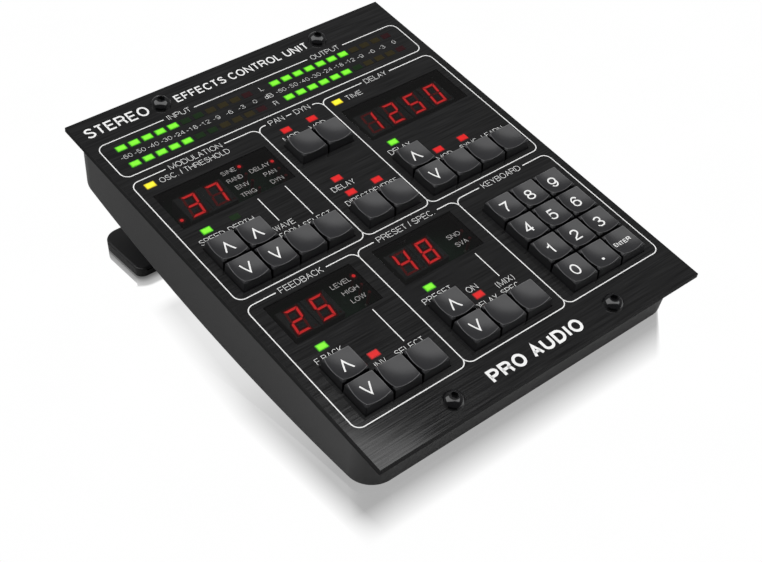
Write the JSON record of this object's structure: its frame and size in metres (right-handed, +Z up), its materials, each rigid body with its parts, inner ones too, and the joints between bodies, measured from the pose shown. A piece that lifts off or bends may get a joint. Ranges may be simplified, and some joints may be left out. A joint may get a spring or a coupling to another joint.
{
  "type": "desktop effects controller",
  "caption": "Sloping table-top controller: brushed black panel with keypad, arrow keys, tinted windows and level meters, curved case and detachable rear stand.",
  "frame": {"origin": "centre of the footprint, on the table the object stands on", "axes": "+Z up, +Y towards the raised rear edge, +X to the right as the user sees it"},
  "size_m": [0.135, 0.1656, 0.0505],
  "materials": {
    "panel_black": "black anodised, fine brushed grain across the width",
    "case_plastic": "dark grey, smooth satin moulding",
    "key_plastic": "dark grey, satin",
    "black_steel": "black, glossy",
    "tinted_window": "smoked, polished",
    "digit_plastic": "dark grey face",
    "lens_green": "translucent green",
    "lens_amber": "translucent amber",
    "lens_red": "translucent red",
    "lens_yellow": "translucent yellow",
    "rubber_black": "matt",
    "stand_plastic": "black satin moulding",
    "steel_plate": "dark grey, fine textured",
    "magnet_nickel": "nickel plated",
    "brass_insert": "turned",
    "board": "green solder mask",
    "zinc_screw": "zinc plated",
    "switch_plastic": "black",
    "chip_led": "clear",
    "chip_black": "matt black",
    "socket_steel": "tin plated"
  },
  "bodies": {
    "unit": {"front_panel": "panel_black", "case_shell": "case_plastic", "base_plate": "steel_plate", "panel_screws": "black_steel", "screw_inserts": "brass_insert", "main_pcb": "board", "pcb_screws": "zinc_screw", "tact_switches": "switch_plastic", "digit_modules": "digit_plastic", "modulation_window": "tinted_window", "delay_window": "tinted_window", "feedback_window": "tinted_window", "preset_window": "tinted_window", "lenses_green": "lens_green", "lenses_amber": "lens_amber", "lenses_red": "lens_red", "lenses_yellow": "lens_yellow", "window_dot_pipes": "lens_red", "chip_leds": "chip_led", "controller_chips": "chip_black", "usb_socket": "socket_steel", "front_foot_strip": "rubber_black"},
    "stand": {"tilt_stand": "stand_plastic", "stand_magnets": "magnet_nickel", "stand_sole": "rubber_black"},
    "key_mod_speed_up_cap": {"key_mod_speed_up": "key_plastic"},
    "key_mod_depth_up_cap": {"key_mod_depth_up": "key_plastic"},
    "key_mod_speed_down_cap": {"key_mod_speed_down": "key_plastic"},
    "key_mod_depth_down_cap": {"key_mod_depth_down": "key_plastic"},
    "key_mod_wave_form_cap": {"key_mod_wave_form": "key_plastic"},
    "key_mod_select_cap": {"key_mod_select": "key_plastic"},
    "key_pan_mod_cap": {"key_pan_mod": "key_plastic"},
    "key_dyn_mod_cap": {"key_dyn_mod": "key_plastic"},
    "key_pan_direct_cap": {"key_pan_direct": "key_plastic"},
    "key_dyn_reverse_cap": {"key_dyn_reverse": "key_plastic"},
    "key_delay_up_cap": {"key_delay_up": "key_plastic"},
    "key_delay_down_cap": {"key_delay_down": "key_plastic"},
    "key_delay_mod_cap": {"key_delay_mod": "key_plastic"},
    "key_delay_sync_cap": {"key_delay_sync": "key_plastic"},
    "key_delay_learn_cap": {"key_delay_learn": "key_plastic"},
    "key_fb_up_cap": {"key_fb_up": "key_plastic"},
    "key_fb_down_cap": {"key_fb_down": "key_plastic"},
    "key_fb_invert_cap": {"key_fb_invert": "key_plastic"},
    "key_fb_select_cap": {"key_fb_select": "key_plastic"},
    "key_preset_up_cap": {"key_preset_up": "key_plastic"},
    "key_preset_down_cap": {"key_preset_down": "key_plastic"},
    "key_preset_delay_on_cap": {"key_preset_delay_on": "key_plastic"},
    "key_preset_special_cap": {"key_preset_special": "key_plastic"},
    "key_pad_0_cap": {"key_pad_0": "key_plastic"},
    "key_pad_point_cap": {"key_pad_point": "key_plastic"},
    "key_pad_enter_cap": {"key_pad_enter": "key_plastic"},
    "key_pad_1_cap": {"key_pad_1": "key_plastic"},
    "key_pad_2_cap": {"key_pad_2": "key_plastic"},
    "key_pad_3_cap": {"key_pad_3": "key_plastic"},
    "key_pad_4_cap": {"key_pad_4": "key_plastic"},
    "key_pad_5_cap": {"key_pad_5": "key_plastic"},
    "key_pad_6_cap": {"key_pad_6": "key_plastic"},
    "key_pad_7_cap": {"key_pad_7": "key_plastic"},
    "key_pad_8_cap": {"key_pad_8": "key_plastic"},
    "key_pad_9_cap": {"key_pad_9": "key_plastic"}
  },
  "joints": [
    {"name": "stand_release", "type": "slide", "parent": "unit", "child": "stand", "axis": [0, 0.1767, -0.9843], "range_m": [0, 0.02], "stiffness_N_per_m": 250, "springref_m": -0.004},
    {"name": "key_mod_speed_up_press", "type": "slide", "parent": "unit", "child": "key_mod_speed_up_cap", "axis": [0, 0.1767, -0.9843], "range_m": [0, 0.0006], "stiffness_N_per_m": 60, "springref_m": -0.0005},
    {"name": "key_mod_depth_up_press", "type": "slide", "parent": "unit", "child": "key_mod_depth_up_cap", "axis": [0, 0.1767, -0.9843], "range_m": [0, 0.0006], "stiffness_N_per_m": 60, "springref_m": -0.0005},
    {"name": "key_mod_speed_down_press", "type": "slide", "parent": "unit", "child": "key_mod_speed_down_cap", "axis": [0, 0.1767, -0.9843], "range_m": [0, 0.0006], "stiffness_N_per_m": 60, "springref_m": -0.0005},
    {"name": "key_mod_depth_down_press", "type": "slide", "parent": "unit", "child": "key_mod_depth_down_cap", "axis": [0, 0.1767, -0.9843], "range_m": [0, 0.0006], "stiffness_N_per_m": 60, "springref_m": -0.0005},
    {"name": "key_mod_wave_form_press", "type": "slide", "parent": "unit", "child": "key_mod_wave_form_cap", "axis": [0, 0.1767, -0.9843], "range_m": [0, 0.0006], "stiffness_N_per_m": 60, "springref_m": -0.0005},
    {"name": "key_mod_select_press", "type": "slide", "parent": "unit", "child": "key_mod_select_cap", "axis": [0, 0.1767, -0.9843], "range_m": [0, 0.0006], "stiffness_N_per_m": 60, "springref_m": -0.0005},
    {"name": "key_pan_mod_press", "type": "slide", "parent": "unit", "child": "key_pan_mod_cap", "axis": [0, 0.1767, -0.9843], "range_m": [0, 0.0006], "stiffness_N_per_m": 60, "springref_m": -0.0005},
    {"name": "key_dyn_mod_press", "type": "slide", "parent": "unit", "child": "key_dyn_mod_cap", "axis": [0, 0.1767, -0.9843], "range_m": [0, 0.0006], "stiffness_N_per_m": 60, "springref_m": -0.0005},
    {"name": "key_pan_direct_press", "type": "slide", "parent": "unit", "child": "key_pan_direct_cap", "axis": [0, 0.1767, -0.9843], "range_m": [0, 0.0006], "stiffness_N_per_m": 60, "springref_m": -0.0005},
    {"name": "key_dyn_reverse_press", "type": "slide", "parent": "unit", "child": "key_dyn_reverse_cap", "axis": [0, 0.1767, -0.9843], "range_m": [0, 0.0006], "stiffness_N_per_m": 60, "springref_m": -0.0005},
    {"name": "key_delay_up_press", "type": "slide", "parent": "unit", "child": "key_delay_up_cap", "axis": [0, 0.1767, -0.9843], "range_m": [0, 0.0006], "stiffness_N_per_m": 60, "springref_m": -0.0005},
    {"name": "key_delay_down_press", "type": "slide", "parent": "unit", "child": "key_delay_down_cap", "axis": [0, 0.1767, -0.9843], "range_m": [0, 0.0006], "stiffness_N_per_m": 60, "springref_m": -0.0005},
    {"name": "key_delay_mod_press", "type": "slide", "parent": "unit", "child": "key_delay_mod_cap", "axis": [0, 0.1767, -0.9843], "range_m": [0, 0.0006], "stiffness_N_per_m": 60, "springref_m": -0.0005},
    {"name": "key_delay_sync_press", "type": "slide", "parent": "unit", "child": "key_delay_sync_cap", "axis": [0, 0.1767, -0.9843], "range_m": [0, 0.0006], "stiffness_N_per_m": 60, "springref_m": -0.0005},
    {"name": "key_delay_learn_press", "type": "slide", "parent": "unit", "child": "key_delay_learn_cap", "axis": [0, 0.1767, -0.9843], "range_m": [0, 0.0006], "stiffness_N_per_m": 60, "springref_m": -0.0005},
    {"name": "key_fb_up_press", "type": "slide", "parent": "unit", "child": "key_fb_up_cap", "axis": [0, 0.1767, -0.9843], "range_m": [0, 0.0006], "stiffness_N_per_m": 60, "springref_m": -0.0005},
    {"name": "key_fb_down_press", "type": "slide", "parent": "unit", "child": "key_fb_down_cap", "axis": [0, 0.1767, -0.9843], "range_m": [0, 0.0006], "stiffness_N_per_m": 60, "springref_m": -0.0005},
    {"name": "key_fb_invert_press", "type": "slide", "parent": "unit", "child": "key_fb_invert_cap", "axis": [0, 0.1767, -0.9843], "range_m": [0, 0.0006], "stiffness_N_per_m": 60, "springref_m": -0.0005},
    {"name": "key_fb_select_press", "type": "slide", "parent": "unit", "child": "key_fb_select_cap", "axis": [0, 0.1767, -0.9843], "range_m": [0, 0.0006], "stiffness_N_per_m": 60, "springref_m": -0.0005},
    {"name": "key_preset_up_press", "type": "slide", "parent": "unit", "child": "key_preset_up_cap", "axis": [0, 0.1767, -0.9843], "range_m": [0, 0.0006], "stiffness_N_per_m": 60, "springref_m": -0.0005},
    {"name": "key_preset_down_press", "type": "slide", "parent": "unit", "child": "key_preset_down_cap", "axis": [0, 0.1767, -0.9843], "range_m": [0, 0.0006], "stiffness_N_per_m": 60, "springref_m": -0.0005},
    {"name": "key_preset_delay_on_press", "type": "slide", "parent": "unit", "child": "key_preset_delay_on_cap", "axis": [0, 0.1767, -0.9843], "range_m": [0, 0.0006], "stiffness_N_per_m": 60, "springref_m": -0.0005},
    {"name": "key_preset_special_press", "type": "slide", "parent": "unit", "child": "key_preset_special_cap", "axis": [0, 0.1767, -0.9843], "range_m": [0, 0.0006], "stiffness_N_per_m": 60, "springref_m": -0.0005},
    {"name": "key_pad_0_press", "type": "slide", "parent": "unit", "child": "key_pad_0_cap", "axis": [0, 0.1767, -0.9843], "range_m": [0, 0.0006], "stiffness_N_per_m": 60, "springref_m": -0.0005},
    {"name": "key_pad_point_press", "type": "slide", "parent": "unit", "child": "key_pad_point_cap", "axis": [0, 0.1767, -0.9843], "range_m": [0, 0.0006], "stiffness_N_per_m": 60, "springref_m": -0.0005},
    {"name": "key_pad_enter_press", "type": "slide", "parent": "unit", "child": "key_pad_enter_cap", "axis": [0, 0.1767, -0.9843], "range_m": [0, 0.0006], "stiffness_N_per_m": 60, "springref_m": -0.0005},
    {"name": "key_pad_1_press", "type": "slide", "parent": "unit", "child": "key_pad_1_cap", "axis": [0, 0.1767, -0.9843], "range_m": [0, 0.0006], "stiffness_N_per_m": 60, "springref_m": -0.0005},
    {"name": "key_pad_2_press", "type": "slide", "parent": "unit", "child": "key_pad_2_cap", "axis": [0, 0.1767, -0.9843], "range_m": [0, 0.0006], "stiffness_N_per_m": 60, "springref_m": -0.0005},
    {"name": "key_pad_3_press", "type": "slide", "parent": "unit", "child": "key_pad_3_cap", "axis": [0, 0.1767, -0.9843], "range_m": [0, 0.0006], "stiffness_N_per_m": 60, "springref_m": -0.0005},
    {"name": "key_pad_4_press", "type": "slide", "parent": "unit", "child": "key_pad_4_cap", "axis": [0, 0.1767, -0.9843], "range_m": [0, 0.0006], "stiffness_N_per_m": 60, "springref_m": -0.0005},
    {"name": "key_pad_5_press", "type": "slide", "parent": "unit", "child": "key_pad_5_cap", "axis": [0, 0.1767, -0.9843], "range_m": [0, 0.0006], "stiffness_N_per_m": 60, "springref_m": -0.0005},
    {"name": "key_pad_6_press", "type": "slide", "parent": "unit", "child": "key_pad_6_cap", "axis": [0, 0.1767, -0.9843], "range_m": [0, 0.0006], "stiffness_N_per_m": 60, "springref_m": -0.0005},
    {"name": "key_pad_7_press", "type": "slide", "parent": "unit", "child": "key_pad_7_cap", "axis": [0, 0.1767, -0.9843], "range_m": [0, 0.0006], "stiffness_N_per_m": 60, "springref_m": -0.0005},
    {"name": "key_pad_8_press", "type": "slide", "parent": "unit", "child": "key_pad_8_cap", "axis": [0, 0.1767, -0.9843], "range_m": [0, 0.0006], "stiffness_N_per_m": 60, "springref_m": -0.0005},
    {"name": "key_pad_9_press", "type": "slide", "parent": "unit", "child": "key_pad_9_cap", "axis": [0, 0.1767, -0.9843], "range_m": [0, 0.0006], "stiffness_N_per_m": 60, "springref_m": -0.0005}
  ]
}
